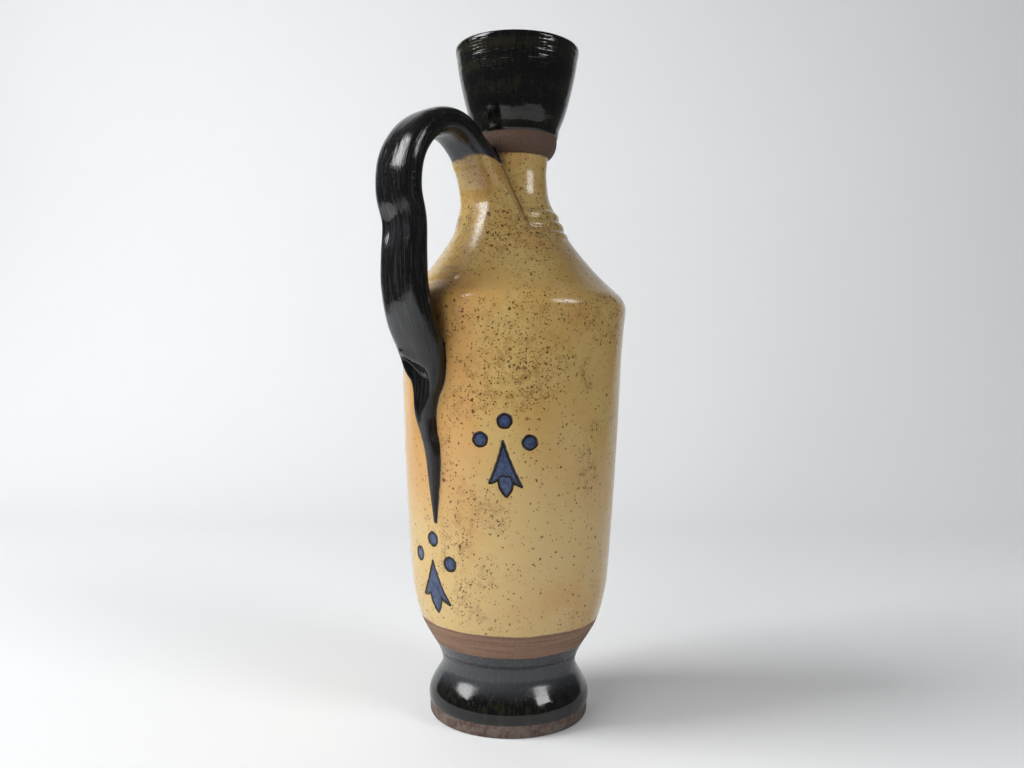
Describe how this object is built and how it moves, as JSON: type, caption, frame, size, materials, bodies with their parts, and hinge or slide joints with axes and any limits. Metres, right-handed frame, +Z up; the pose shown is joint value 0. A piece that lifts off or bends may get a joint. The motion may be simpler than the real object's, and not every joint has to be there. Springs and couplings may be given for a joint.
{
  "type": "holy water jug",
  "caption": "Tall hand-thrown stoneware jug with a narrow throat, a small cup at its mouth, a spool foot and a strap handle drawn down the wall into a tail.",
  "frame": {"origin": "centre of the flat underside of the foot, on the throwing axis", "axes": "+Z up along the throwing axis; the handle stands on the -X side"},
  "size_m": [0.1313, 0.1092, 0.32],
  "materials": {
    "glazed_stoneware": "glossy honey glaze with iron speckles, black glazed cup, handle and foot, bare brown clay bands"
  },
  "bodies": {
    "root": {"jug": "glazed_stoneware"}
  },
  "joints": []
}
